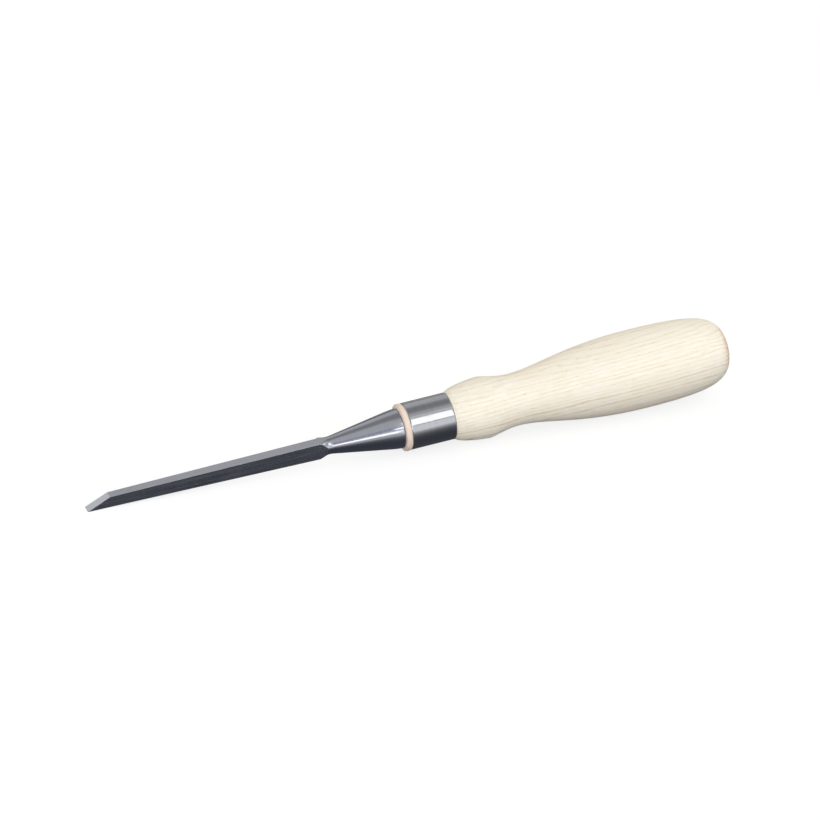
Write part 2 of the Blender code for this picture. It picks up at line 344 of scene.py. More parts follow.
# %% [markdown]
# The lathe's work is one outline, in to the neck and out along the cone to the rim. Rings could be spaced
# evenly along the blade, but its surface turns fastest at the upper line of the bevel and at the shoulders,
# so they are crowded there and spread out on the flats.

# %% Turned outline and stations along the forging
turned_spacing = 0.8 * mm
bevel_line_reach = 0.8 * mm
before_shoulder, after_neck = 1.0 * mm, 1.5 * mm
bevel_rings, bevel_line_rings, body_rings, shoulder_rings = 14, 17, 32, 49


def turned_outline():
    """The lathe's work: in from the heel's corners to the neck, then out along the cone to the rim."""
    half, back, _, _ = blade_planes(blade_length)
    narrowing = (math.hypot(half, back) - neck_radius) / shoulder_length
    corners = [
        (0.0, neck_radius + narrowing * neck_station),
        (neck_station, neck_radius),
        (neck_station + neck_length, neck_radius),
        (bolster_base - rim_length, rim_radius - rim_length * math.tan(rim_taper)),
        (bolster_base, rim_radius),
        (bolster_base, base_inner),
    ]
    radii = [0.0, shoulder_fillet, neck_blend, rim_blend, rim_round, 0.0]
    return filled_in(rounded_outline(corners, radii), turned_spacing)


def lift_above_axis(along):
    """Height of the turned middle above the axis: none at the heel, most at the neck, none at the base."""
    return np.interp(along, [blade_length, neck_station, bolster_base], [0.0, neck_lift, 0.0])


bevel_line_start, bevel_line_end = bevel_length - bevel_line_reach, bevel_length + bevel_line_reach
by_bevel_line = np.linspace(bevel_line_start, bevel_line_end, bevel_line_rings)
by_shoulder = np.linspace(blade_length - before_shoulder, neck_station + after_neck, shoulder_rings)
blade_stations = np.concatenate([
    np.linspace(0.0, by_bevel_line[0], bevel_rings)[:-1],
    by_bevel_line,
    np.linspace(by_bevel_line[-1], by_shoulder[0], body_rings)[1:-1],
    by_shoulder,
])
lathe_line = turned_outline()
bolster_outline = lathe_line[lathe_line[:, 0] > blade_stations[-1]]
print(len(blade_stations), "rings on the blade and", len(bolster_outline), "on the bolster")

# %% [markdown]
# The limits are now drawn together. Points are crowded towards the section's corners, where the surface
# turns. Three marks are kept at each point for the finish: how much of it is honed bevel, how much is
# turned, and how close it is to an edge, where handling wears the steel bright.

# %% Shape the forging
corner_sharpness = 60
edge_mark_sharpness = 24
points_round_forging = 256
section_corners = 4
corner_crowding = 0.75
tang_rings = 12
no_limit = 1.0


def forging_rings(along, turned, planes):
    """Rings of the forging: along each direction, 1 / radius is the power mean of 1 / each limit."""
    half, back, top, land, lean, is_bevel = (plane[:, None] for plane in planes)
    turned = turned[:, None]
    even = np.linspace(0.0, 2 * math.pi, points_round_forging, endpoint=False)
    angle = even + corner_crowding * np.sin(section_corners * even) / section_corners
    middle = (top + back) / 2
    across, up = half * np.cos(angle), (top - back) / 2 * np.sin(angle)
    across, up = across / np.hypot(across, up), up / np.hypot(across, up)
    upright = np.abs(across) / half
    leaning = (np.abs(across) + lean * up) / (half - lean * (middle - land))
    limits = np.stack([
        np.maximum(up, 0.0) / (top - middle),
        np.maximum(-up, 0.0) / (middle - back),
        np.maximum(upright, leaning),
        1.0 / (np.sqrt(turned**2 - (middle * across) ** 2) - middle * up),
    ])
    nearest = limits.max(axis=0)
    shares = limits / nearest
    radius = 1.0 / (nearest * (shares**corner_sharpness).sum(axis=0) ** (1.0 / corner_sharpness))
    rings = np.stack(np.broadcast_arrays(along[:, None], radius * across, middle + radius * up), axis=-1)
    second = np.sort(shares[:3], axis=0)[1]
    marks = {
        "honed": shares[0] ** corner_sharpness * is_bevel,
        "turned": shares[3] ** corner_sharpness,
        "edge": second**edge_mark_sharpness,
    }
    return rings, marks


def tang_limits(along):
    """The planes of the tang, a square that tapers evenly to its tip, with no land, lean or bevel."""
    half = tang_root + (tang_end - tang_root) * (along - bolster_base) / (tang_tip - bolster_base)
    none = np.zeros_like(along)
    return half, -half, half, none, none, none


tang_stations = np.linspace(bolster_base, tang_tip, tang_rings)
tang_planes = tang_limits(tang_stations)
forged_along = np.concatenate([blade_stations, bolster_outline[:, 0]])
turned_on_blade = np.interp(blade_stations, lathe_line[:, 0], lathe_line[:, 1])
forged_turned = np.concatenate([turned_on_blade, bolster_outline[:, 1]])
rings, marks = forging_rings(
    np.concatenate([forged_along, tang_stations]),
    np.concatenate([forged_turned, np.full_like(tang_stations, no_limit)]),
    [np.concatenate(pair) for pair in zip(forging_limits(forged_along), tang_planes)],
)
rings[..., 2] += lift_above_axis(rings[..., 0])
blade = piece_from_rings("forged_blade", rings, marks)

# %% [markdown]
# ## The leather washer
# The washer takes up the blow between the bolster and the ferrule. It was punched from thick undyed leather
# and trimmed with the ferrule, so its edge bulges a little and isn't quite true. A turned outline gives the
# ring, and a few slow waves round it, summed sines, take away the machine's perfection. It fills the space
# between the steel faces but for a hair's breadth, which shows as the dark line that real joints have.
# Three marks tell the finish where the cut edge, the outer corners and the flat faces are. The corners
# are darkened with painted shade, and the faces are painted paler, partly as painted light.

# %% Shape the washer
hair = 0.05 * mm
washer_corner = 0.45 * mm
washer_spacing = 0.25 * mm
washer_bulge = 0.10 * mm
washer_wave = 0.07 * mm
washer_waves = ((0.5, 3, 0.7), (0.3, 7, 2.1), (0.2, 13, 4.0))
edge_power = 4
face_fade = 0.15 * mm
points_round_tube = 240
washer_start, washer_end = bolster_base + hair, ferrule_front - hair


def washer_rings():
    """A ring whose edge bulges as half a sine over its thickness, and waves as a sum of sines round it."""
    ends, radii = (washer_start, washer_end), (washer_radius, washer_bore)
    outline = tube_outline(*ends, *radii, washer_corner, washer_spacing)
    along, radius = outline[:, :1], outline[:, 1:]
    directions = even_directions(points_round_tube)
    rings = round_the_axis(outline, directions)
    angle = np.arctan2(directions[:, 1], directions[:, 0])
    thickness_share = (along - washer_start) / (washer_end - washer_start)
    outwards = np.clip((radius - washer_bore) / (washer_radius - washer_bore), 0.0, 1.0) ** edge_power
    wave = sum(share * np.sin(count * angle + start) for share, count, start in washer_waves)
    swell = washer_bulge * np.sin(math.pi * thickness_share) + washer_wave * wave
    rings[..., 1:] *= (1.0 + outwards * swell / washer_radius)[..., None]
    from_face = np.minimum(along - washer_start, washer_end - along)
    from_corner = from_face + washer_radius - radius
    marks = {
        "cut_edge": outwards,
        # a mark for painted shade on the outer corners
        "corner_shade": np.exp(-from_corner / washer_corner),
        "flat_face": np.exp(-from_face / face_fade),
    }
    return rings, marks


rings, marks = washer_rings()
washer = piece_from_rings("leather_ring", rings, marks, closes_on_itself=True)

# %% [markdown]
# ## The ferrule
# A plain steel tube, turned and polished, keeps the wood from splitting. Its front and rear edges are
# broken by a file, and the front one catches a thin white line of light.

# %% Shape the ferrule
ferrule_edge = 0.35 * mm
outline = tube_outline(
    ferrule_front, ferrule_rear, ferrule_radius, ferrule_bore, ferrule_edge, turned_spacing
)
rings = round_the_axis(outline, even_directions(points_round_tube))
from_edge = np.minimum(outline[:, :1] - ferrule_front, ferrule_rear - outline[:, :1])
marks = {"edge": np.exp(-from_edge / ferrule_edge)}
ferrule = piece_from_rings("ferrule_tube", rings, marks, closes_on_itself=True)

# %% [markdown]
# ## The handle's outline
# The turner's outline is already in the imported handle: each of its rings lies on it. The points on one line
# along the handle are picked out, and a smooth curve is drawn through them, a cubic from each point to the
# next with a slope that follows both neighbours. Past the butt the outline is mirrored, so that the curve
# crosses the axis squarely and the end is round without a nipple.

# %% Read the outline and smooth it
line_tolerance = 0.01 * mm
outline_points = 260
handle_tool = to_tool(handle_points)
on_one_line = (np.abs(handle_tool[:, 1]) < line_tolerance) & (handle_tool[:, 2] > -line_tolerance)
line = handle_tool[on_one_line][:, [0, 2]]
line = line[np.argsort(line[:, 0])]
swell_station = line[line[:, 1].argmax(), 0]
is_turned = (line[:, 1] > ferrule_radius - hair) | (line[:, 0] > swell_station)
turned_line = line[is_turned & (line[:, 0] > ferrule_rear)]


def smooth_line(points, count):
    """Points evenly along a chain of cubics, with slopes from the differences to both neighbours."""
    travelled = np.append(0.0, np.cumsum(np.linalg.norm(np.diff(points, axis=0), axis=1)))
    slopes = np.gradient(points, travelled, axis=0)
    stops = np.linspace(0.0, travelled[-1], count)
    piece = np.clip(np.searchsorted(travelled, stops, side="right") - 1, 0, len(points) - 2)
    length = np.diff(travelled)[piece][:, None]
    share = (stops - travelled[piece])[:, None] / length
    start, end = points[piece], points[piece + 1]
    start_slope, end_slope = slopes[piece] * length, slopes[piece + 1] * length
    return (
        (2 * share**3 - 3 * share**2 + 1) * start
        + (share**3 - 2 * share**2 + share) * start_slope
        + (3 * share**2 - 2 * share**3) * end
        + (share**3 - share**2) * end_slope
    )


mirrored = turned_line[-2::-1] * [1.0, -1.0]
both_sides = smooth_line(np.vstack([turned_line, mirrored]), 2 * outline_points + 1)
handle_outline = both_sides[:outline_points]
print(f"the handle's outline: {len(turned_line)} points read, {len(handle_outline)} points drawn")

# %% [markdown]
# ## The handle
# Inside the ferrule the handle has a tenon, and down its middle a tapered square hole for the tang. All of
# it is one stack of rings that starts at the bottom of the hole, comes out at the front, and runs back over
# the tenon and the turned outline to the butt. A square ring is a circle whose radius is divided by the
# larger of the direction's two parts. The wood meets the ferrule with the same hair's breadth as the
# washer. One mark is kept for the finish: how squarely the surface faces back, where the end grain shows.

# %% Shape the handle
tang_fit = 0.3 * mm
collar_round = 0.25 * mm
bore_margin = 1.0 * mm
front_spacing = 1.0 * mm
bore_rings = 10
points_round_handle = 192
tenon_radius = ferrule_bore - tang_fit
shoulder = ferrule_rear + hair
bore_along = np.linspace(tang_tip + tang_fit, handle_front, bore_rings)
bore_half = tang_limits(bore_along)[0] + tang_fit
front_corners = [
    (handle_front, bore_half[-1] + bore_margin),
    (handle_front, tenon_radius),
    (shoulder, tenon_radius),
    (shoulder, ferrule_radius),
    handle_outline[1],
]
front_outline = rounded_outline(front_corners, [0.0, collar_round, collar_round, collar_round, 0.0])
round_outline = np.vstack([filled_in(front_outline, front_spacing)[:-1], handle_outline[1:]])
directions = even_directions(points_round_handle)
square_directions = directions / np.abs(directions).max(axis=1, keepdims=True)
rings = np.vstack([
    round_the_axis(np.column_stack([bore_along, bore_half]), square_directions),
    round_the_axis(round_outline, directions),
])
outline_steps = np.gradient(round_outline, axis=0)
facing_back = -outline_steps[:, 1] / np.linalg.norm(outline_steps, axis=1)
end_grain = np.concatenate([np.zeros_like(bore_half), np.clip(facing_back, 0.0, 1.0)])
handle = piece_from_rings("turned_handle", rings, {"end_grain": end_grain[:, None]})

# %% [markdown]
# ## Small helpers for shader nodes
# A material is a web of nodes. Each helper below adds a node or a few, fills the sockets with plain values
# or with links, and hands on the output, so that a finish reads from top to bottom like a recipe. The first
# ones do arithmetic.

# %% Node helpers for values
def fill(tree, node, inputs):
    """Fills a node's inputs, found by name or number, with plain values or with links."""
    for socket, value in inputs.items():
        if isinstance(value, bpy.types.NodeSocket):
            tree.links.new(value, node.inputs[socket])
        else:
            node.inputs[socket].default_value = value


def add(tree, kind, inputs=None, **settings):
    """Adds a shader node, sets its options and fills its inputs."""
    node = tree.nodes.new("ShaderNode" + kind)
    for option, value in settings.items():
        setattr(node, option, value)
    fill(tree, node, inputs or {})
    return node


def calculate(tree, operation, first, second=0.0):
    """One step of arithmetic on two values."""
    return add(tree, "Math", {0: first, 1: second}, operation=operation).outputs[0]


def ranged(tree, value, low, high, to_low=0.0, to_high=1.0):
    """A value carried smoothly from one range to another, and held at its ends."""
    inputs = {"Value": value, "From Min": low, "From Max": high, "To Min": to_low, "To Max": to_high}
    return add(tree, "MapRange", inputs, interpolation_type="SMOOTHSTEP").outputs[0]


def between(tree, share, first, second):
    """A value mixed from two by a share."""
    return add(tree, "Mix", {0: share, 2: first, 3: second}, data_type="FLOAT").outputs[0]


def part_of(tree, value, share):
    """A share of a value."""
    return calculate(tree, "MULTIPLY", value, share)


def vector_step(tree, operation, first, second=(0.0, 0.0, 0.0)):
    """One step of arithmetic on two vectors."""
    return add(tree, "VectorMath", {0: first, 1: second}, operation=operation).outputs[0]


def length_of(tree, vector):
    """The length of a vector."""
    return add(tree, "VectorMath", {0: vector}, operation="LENGTH").outputs["Value"]


# %% [markdown]
# Colours are mixed by a share, or painted over each other in coats. Patterns are laid out in the tool's
# frame: a Mapping node undoes the chisel's tilt, so that x runs along the tool in every material.

# %% Node helpers for colours and patterns
def blended(tree, share, first, second):
    """A colour mixed from two by a share."""
    colours = {6: first, 7: second}
    colours = {socket: (*c, 1.0) if isinstance(c, tuple) else c for socket, c in colours.items()}
    return add(tree, "Mix", {0: share, **colours}, data_type="RGBA").outputs[2]


def varied(tree, share, colour, contrast):
    """A colour between a darker and a lighter shade of itself."""
    darker = tuple((1.0 - contrast) * part for part in colour)
    lighter = tuple((1.0 + contrast) * part for part in colour)
    return blended(tree, share, darker, lighter)


def painted(tree, colour, *coats):
    """A colour under coats laid on in turn: for each, where it lies, how thickly, and its colour."""
    for place, thickness, coat in coats:
        colour = blended(tree, part_of(tree, place, thickness), colour, coat)
    return colour


def noise(tree, position, scale, detail=2.0, roughness=0.5):
    """Smooth noise from 0 to 1 at a number of features per metre."""
    inputs = {"Vector": position, "Scale": scale, "Detail": detail, "Roughness": roughness}
    return add(tree, "TexNoise", inputs).outputs["Fac"]


def bumps(tree, height, strength, depth):
    """A normal that follows a height, as deep as the given length."""
    return add(tree, "Bump", {"Height": height, "Strength": strength, "Distance": depth}).outputs[0]


def mark_of(tree, name):
    """The value that a piece keeps at each of its points under a name."""
    return add(tree, "Attribute", attribute_name=name).outputs["Fac"]


def tool_position(tree):
    """Object coordinates, turned so that x runs along the tool, from the cutting edge."""
    place = add(tree, "TexCoord").outputs["Object"]
    inputs = {"Vector": place, "Location": tuple(edge_on_axis), "Rotation": (0.0, -tilt, 0.0)}
    return add(tree, "Mapping", inputs, vector_type="TEXTURE").outputs[0]


def dress(piece, name, finish):
    """Gives a piece a new material: the finish adds its nodes and says what fills the Principled shader."""
    material = bpy.data.materials.new(name)
    material.use_nodes = True
    tree = material.node_tree
    fill(tree, tree.nodes["Principled BSDF"], finish(tree))
    piece.data.materials.append(material)
    print(f"{piece.name} wears {name}, made of {len(tree.nodes)} nodes")


print("patterns run along x, from the point", [round(value, 4) for value in edge_on_axis])

# %% [markdown]
# ## Effects that several finishes share
# An effect that several finishes need could be built anew in each. Here it is a node group with named
# sockets, built once and placed in each finish with its own values. The first one draws lines. Grinding
# lines on steel, turning marks and wood fibre are the same thing seen closely: noise drawn out in one
# direction.

# %% Drawn lines
line_detail, line_roughness, line_range = 4.0, 0.6, (0.3, 0.7)


def new_group(name, sockets_in, socket_out):
    """An empty node group with named inputs, and one output for a value."""
    group = bpy.data.node_groups.new(name, "ShaderNodeTree")
    for socket, kind in sockets_in.items():
        group.interface.new_socket(socket, in_out="INPUT", socket_type="NodeSocket" + kind)
    group.interface.new_socket(socket_out, in_out="OUTPUT", socket_type="NodeSocketFloat")
    given = group.nodes.new("NodeGroupInput").outputs
    result = group.nodes.new("NodeGroupOutput").inputs[socket_out]
    return group, given, result


def placer(group):
    """A function that places a shared group in a finish."""
    def place(tree, *values):
        """The group's output, with its sockets filled in their order."""
        node = tree.nodes.new("ShaderNodeGroup")
        node.node_tree = group
        fill(tree, node, dict(enumerate(values)))
        return node.outputs[0]

    print(f"{group.name} is a shared group of {len(group.nodes)} nodes")
    return place


def make_drawn_lines():
    """Lines drawn out in one direction: Fineness counts them per metre along, across and up."""
    group, given, result = new_group("drawn_lines", {"Position": "Vector", "Fineness": "Vector"}, "Lines")
    stretched = vector_step(group, "MULTIPLY", given["Position"], given["Fineness"])
    lines = noise(group, stretched, 1.0, line_detail, line_roughness)
    group.links.new(ranged(group, lines, *line_range), result)
    return group


drawn_lines = placer(make_drawn_lines())

# %% [markdown]
# Hands and cloths leave cloudy patches on steel, leather and wood. Smooth noise gives them, cut off below a
# level that falls as the patches cover more.

# %% Soft patches
cloud_detail, cloud_roughness, cloud_top, cloud_fade = 5.0, 0.6, 0.85, 0.25


def make_soft_patches():
    """Cloudy patches: Size counts them per metre, and Cover is the share of the surface they take."""
    sockets = {"Position": "Vector", "Size": "Float", "Cover": "Float"}
    group, given, result = new_group("soft_patches", sockets, "Patches")
    clouds = noise(group, given["Position"], given["Size"], cloud_detail, cloud_roughness)
    clear_below = calculate(group, "SUBTRACT", cloud_top, given["Cover"])
    above = calculate(group, "SUBTRACT", clouds, clear_below)
    group.links.new(ranged(group, above, 0.0, cloud_fade), result)
    return group


soft_patches = placer(make_soft_patches())

# %% [markdown]
# Steel wears bright along its edges first, but never evenly. The mark that a piece keeps near its edges is
# broken into stretches by slow noise.

# %% Edge wear
break_detail, break_range, least_kept, worn_range = 3.0, (0.35, 0.65), 0.5, (0.3, 0.9)


def make_edge_wear():
    """Wear along edges: the edge mark, broken into stretches by noise, of Size per metre."""
    sockets = {"Edge": "Float", "Position": "Vector", "Size": "Float"}
    group, given, result = new_group("edge_wear", sockets, "Wear")
    breaks = noise(group, given["Position"], given["Size"], break_detail)
    kept = ranged(group, breaks, *break_range, least_kept, 1.0)
    worn = ranged(group, given["Edge"], *worn_range)
    group.links.new(calculate(group, "MULTIPLY", worn, kept), result)
    return group


edge_wear = placer(make_edge_wear())

# %% [markdown]
# ## Blade steel
# The flats of the blade come from a surface grinder, which leaves fine lines along the length and a soft
# grey shine. The cutting bevel is honed brighter. The neck and the bolster are turned and polished, so
# their marks run round and their reflections are crisp. The three marks on the forging choose between
# these finishes.

# %% Finish the blade
ground_steel = (0.30, 0.31, 0.34)
honed_steel = (0.44, 0.455, 0.49)
bare_steel = (0.50, 0.51, 0.53)
smudged_steel = (0.20, 0.21, 0.23)
ground_contrast, turned_contrast, honed_contrast = 0.045, 0.025, 0.05
flat_lines = (40.0, 3000.0, 3000.0)
turning_marks = (1500.0, 25.0, 25.0)
patches_per_metre, patch_cover = 90.0, 0.45
smudge_share, smudge_rough = 0.10, 0.04
wear_per_metre, blade_wear = 80.0, 0.35
ground_rough, polished_rough = (0.22, 0.32), (0.10, 0.15)
turned_height, blade_bump, steel_depth = 0.35, 0.10, 0.004 * mm


def blade_finish(tree):
    """Ground, honed and turned steel, chosen by the marks on the forging."""
    position = tool_position(tree)
    turned, honed = mark_of(tree, "turned"), mark_of(tree, "honed")
    ground_lines = drawn_lines(tree, position, flat_lines)
    turned_lines = drawn_lines(tree, position, turning_marks)
    patches = soft_patches(tree, position, patches_per_metre, patch_cover)
    wear = edge_wear(tree, mark_of(tree, "edge"), position, wear_per_metre)
    ground_colour = varied(tree, ground_lines, ground_steel, ground_contrast)
    turned_colour = varied(tree, turned_lines, ground_steel, turned_contrast)
    honed_colour = varied(tree, ground_lines, honed_steel, honed_contrast)
    colour = blended(tree, turned, ground_colour, turned_colour)
    colour = painted(tree, colour, (patches, smudge_share, smudged_steel))
    colour = blended(tree, honed, colour, honed_colour)
    colour = painted(tree, colour, (wear, blade_wear, bare_steel))
    ground = ranged(tree, ground_lines, 0.0, 1.0, *ground_rough)
    polished = ranged(tree, turned_lines, 0.0, 1.0, *polished_rough)
    rough = between(tree, turned, ground, polished)
    rough = calculate(tree, "ADD", rough, part_of(tree, patches, smudge_rough))
    height = between(tree, turned, ground_lines, part_of(tree, turned_lines, turned_height))
    normal = bumps(tree, height, blade_bump, steel_depth)
    return {"Base Color": colour, "Roughness": rough, "Metallic": 1.0, "Normal": normal}


dress(blade, "blade_steel", blade_finish)

# %% [markdown]
# ## Ferrule steel
# The ferrule was polished on the lathe, so its marks run round it and spread a highlight along the tube,
# while the bands of light and dark that lie along it stay crisp. Its filed edges are worn a little brighter.

# %% Finish the ferrule
polished_steel = (0.30, 0.305, 0.32)
polish_contrast = 0.035
polish_marks = (2200.0, 30.0, 30.0)
smudges_per_metre, smudge_cover = 140.0, 0.40
ferrule_wear, ferrule_bump = 0.6, 0.15


def ferrule_finish(tree):
    """Polished tube with fine turning marks, faint patches from the hand and bright edges."""
    position = tool_position(tree)
    lines = drawn_lines(tree, position, polish_marks)
    patches = soft_patches(tree, position, smudges_per_metre, smudge_cover)
    wear = edge_wear(tree, mark_of(tree, "edge"), position, wear_per_metre)
    colour = varied(tree, lines, polished_steel, polish_contrast)
    colour = painted(tree, colour, (patches, smudge_share, smudged_steel), (wear, ferrule_wear, bare_steel))
    rough = ranged(tree, lines, 0.0, 1.0, *polished_rough)
    rough = calculate(tree, "ADD", rough, part_of(tree, patches, smudge_rough))
    normal = bumps(tree, lines, ferrule_bump, steel_depth)
    return {"Base Color": colour, "Roughness": rough, "Metallic": 1.0, "Normal": normal}


dress(ferrule, "ferrule_steel", ferrule_finish)

# %% [markdown]
# ## Washer leather
# Undyed leather is peach coloured. Its flat faces are painted paler, partly for the grain side's own paler
# tone and partly as painted light for the light that the front face catches. Its cut edge shows the layers
# of the hide, which run round the washer, with loose fibre and a few darker pores. Its outer corners are
# darkened with painted shade, and it is matt all over.

# %% Finish the washer
hide_colour = (0.77, 0.64, 0.54)
hide_pale = (0.84, 0.73, 0.65)
# the faces' paler tone: partly the grain side's own, partly painted light
face_tone_and_light = (0.94, 0.82, 0.75)
hide_dark = (0.58, 0.42, 0.32)
hide_pore = (0.36, 0.23, 0.16)
hide_layers = (4000.0, 160.0, 160.0)
hide_fibre_per_metre, hide_patches_per_metre, hide_pores_per_metre = 2600.0, 300.0, 1400.0
hide_fibre_detail, hide_fibre_roughness = 6.0, 0.7
pale_fibre, matt_fibre, hide_rough = (0.35, 0.65), (0.3, 0.7), (0.62, 0.82)
hide_cover, hide_pore_range = 0.45, (0.66, 0.74)
face_share, layer_share, hide_patch_share, corner_shade_share, hide_pore_share = 0.90, 0.25, 0.15, 0.50, 0.4
layer_height, hide_bump, hide_depth = 0.5, 0.6, 0.05 * mm


def washer_finish(tree):
    """Peach leather, faces paler partly as painted light, painted shade on corners, layers, fibre and pores.
    """
    position = tool_position(tree)
    all_layers = drawn_lines(tree, position, hide_layers)
    layers = part_of(tree, all_layers, mark_of(tree, "cut_edge"))
    fibre = noise(tree, position, hide_fibre_per_metre, hide_fibre_detail, hide_fibre_roughness)
    patches = soft_patches(tree, position, hide_patches_per_metre, hide_cover)
    pores = ranged(tree, noise(tree, position, hide_pores_per_metre), *hide_pore_range)
    colour = painted(
        tree,
        blended(tree, ranged(tree, fibre, *pale_fibre), hide_colour, hide_pale),
        # flat faces painted paler, partly as painted light
        (mark_of(tree, "flat_face"), face_share, face_tone_and_light),
        (layers, layer_share, hide_dark),
        (patches, hide_patch_share, hide_dark),
        # painted shade on the outer corners
        (mark_of(tree, "corner_shade"), corner_shade_share, hide_dark),
        (pores, hide_pore_share, hide_pore),
    )
    rough = ranged(tree, fibre, *matt_fibre, *hide_rough)
    height = calculate(tree, "ADD", fibre, part_of(tree, layers, layer_height))
    normal = bumps(tree, calculate(tree, "SUBTRACT", height, pores), hide_bump, hide_depth)
    return {"Base Color": colour, "Roughness": rough, "Normal": normal}


dress(washer, "washer_leather", washer_finish)

# %% [markdown]
# ## Ash: the years
# Ash is a ring-porous wood: each spring it lays down a band of wide pores, and then pale dense wood until
# the autumn. The handle was cut well away from the tree's heart, so the bands are almost flat sheets that
# lean through it. Along the side that is seen they show as lengthwise lines, and on the far side as long
# arches. A distance from the heart, bent a little by noise, is cut into years. Each year starts with its
# pore band and fades. A number drawn by chance for each year makes its band weaker or stronger, and a few
# lucky years turn brown. The count starts at a chosen first year, which decides where those years fall.

# %% Bands of the years
heart = (0.0, -58.0 * mm, -93.0 * mm)
year = 1.6 * mm
first_year = 3454.0
grain_rise = 0.020
grain_bend = 5.0 * mm
slow_bends = (9.0, 110.0, 110.0)
strength_bends = (170.0, 500.0, 500.0)
onset_ends, fade_ends = 0.12, 0.55
weakest_year, weakest_place, strong_luck = 0.60, 0.40, (0.84, 0.95)
strength_detail, strength_range = 3.0, (0.35, 0.65)


def years_from_heart(tree, position):
    """Years grown since the heart: (distance from it - rise * along + bend * noise) / a year's growth."""
    beside = vector_step(tree, "SUBTRACT", position, heart)
    distance = length_of(tree, vector_step(tree, "MULTIPLY", beside, (0.0, 1.0, 1.0)))
    along = add(tree, "SeparateXYZ", {0: position}).outputs["X"]
    level = calculate(tree, "SUBTRACT", distance, part_of(tree, along, grain_rise))
    slow = noise(tree, vector_step(tree, "MULTIPLY", position, slow_bends), 1.0)
    bent = calculate(tree, "ADD", level, part_of(tree, slow, grain_bend))
    return calculate(tree, "DIVIDE", bent, year)


def pore_bands(tree, position):
    """Bands that start sharply with each year and come and go, and the bands of the strong years alone."""
    years = years_from_heart(tree, position)
    season = calculate(tree, "FRACT", years)
    onset = ranged(tree, season, 0.0, onset_ends)
    fade = ranged(tree, season, onset_ends, fade_ends, 1.0, 0.0)
    number = calculate(tree, "ADD", calculate(tree, "FLOOR", years), first_year)
    luck = add(tree, "TexWhiteNoise", {"W": number}, noise_dimensions="1D").outputs["Value"]
    of_year = ranged(tree, luck, 0.0, 1.0, weakest_year, 1.0)
    strong = ranged(tree, luck, *strong_luck)
    stretched = vector_step(tree, "MULTIPLY", position, strength_bends)
    clouds = noise(tree, stretched, 1.0, strength_detail)
    of_place = ranged(tree, clouds, *strength_range, weakest_place, 1.0)
    band = part_of(tree, part_of(tree, onset, fade), part_of(tree, of_year, of_place))
    return band, part_of(tree, band, strong)


print(f"the tree's heart lay {math.hypot(*heart) / mm:.0f} mm from the handle's axis")

# %% [markdown]
# ## Ash: the wood
# Over the bands go long streaks, fibre, cloudy patches and pores, which are short dark dashes in the band.
# The end grain drinks oil and darkens, and there the bands show as rings dotted with vessels. Sanding
# leaves the wood smooth, so the pores are only a few hundredths of a millimetre deep.

# %% Finish the handle
ash_pale = (0.872, 0.829, 0.744)
ash_band = (0.58, 0.46, 0.215)
ash_brown = (0.56, 0.36, 0.14)
ash_cloud = (0.86, 0.75, 0.58)
ash_pore = (0.50, 0.34, 0.19)
ash_end = (0.58, 0.34, 0.17)
ash_ring = (0.33, 0.19, 0.09)
fibre_lines = (200.0, 1400.0, 1400.0)
long_streaks = (25.0, 750.0, 750.0)
pore_dashes = (420.0, 2400.0, 2400.0)
clouds_per_metre, vessels_per_metre, cloud_cover = 45.0, 2200.0, 0.45
dash_range, dashes_outside, full_band = (0.82, 0.98), 0.25, 0.6
end_ragged, end_range = 0.12, (0.64, 1.00)
vessel_range, between_vessels = (0.40, 0.62), 0.3
band_share, brown_share, streak_share, fibre_share = 0.46, 0.50, 0.10, 0.18
cloud_share, pore_share, end_share, ring_share = 0.16, 0.45, 0.72, 0.85
ash_rough, pore_rough = (0.40, 0.50), 0.2
fibre_height, ash_bump, ash_depth = 0.4, 0.5, 0.03 * mm


def ash_finish(tree):
    """Pale ash with yearly pore bands, dashes, fibre and darker end grain."""
    position = tool_position(tree)
    band, strong_band = pore_bands(tree, position)
    fibre = drawn_lines(tree, position, fibre_lines)
    streaks = drawn_lines(tree, position, long_streaks)
    dashes = ranged(tree, drawn_lines(tree, position, pore_dashes), *dash_range)
    pores = part_of(tree, dashes, ranged(tree, band, 0.0, full_band, dashes_outside, 1.0))
    patches = soft_patches(tree, position, clouds_per_metre, cloud_cover)
    ragged = calculate(tree, "ADD", mark_of(tree, "end_grain"), part_of(tree, fibre, end_ragged))
    end_grain = ranged(tree, ragged, *end_range)
    vessels = ranged(tree, noise(tree, position, vessels_per_metre), *vessel_range, between_vessels, 1.0)
    end_rings = part_of(tree, end_grain, part_of(tree, band, vessels))
    colour = painted(
        tree,
        ash_pale,
        (band, band_share, ash_band),
        (strong_band, brown_share, ash_brown),
        (streaks, streak_share, ash_band),
        (fibre, fibre_share, ash_band),
        (patches, cloud_share, ash_cloud),
        (pores, pore_share, ash_pore),
        (end_grain, end_share, ash_end),
        (end_rings, ring_share, ash_ring),
    )
    rough = ranged(tree, fibre, 0.0, 1.0, *ash_rough)
    rough = calculate(tree, "ADD", rough, part_of(tree, pores, pore_rough))
    height = calculate(tree, "SUBTRACT", part_of(tree, fibre, fibre_height), pores)
    normal = bumps(tree, height, ash_bump, ash_depth)
    return {"Base Color": colour, "Roughness": rough, "Normal": normal}


dress(handle, "handle_ash", ash_finish)

# %% [markdown]
# ## Riding on the imported model
# Nothing on a chisel moves, so the imported model has one body, root. Each dressed piece rides on it and
# stands for its imported piece, which is hidden.

# %% Put the pieces on the body
for piece, node, finish in (
    (blade, "blade", "blade_steel"),
    (washer, "leather_washer", "washer_leather"),
    (ferrule, "ferrule", "ferrule_steel"),
    (handle, "handle", "handle_ash"),
):
    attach(piece, "root")
    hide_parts(node)
    print(f"{piece.name} stands for {node}")

# %% [markdown]
# ## Floor and background
# A tool catalogue shows its subject on white. The floor is a grey sheet, so that it takes a soft shadow,
# and it glows just enough for the camera, and for mirrors, to lift it to white. The world does the same:
# it is white where it is seen, and gives a plainer light to matt surfaces.

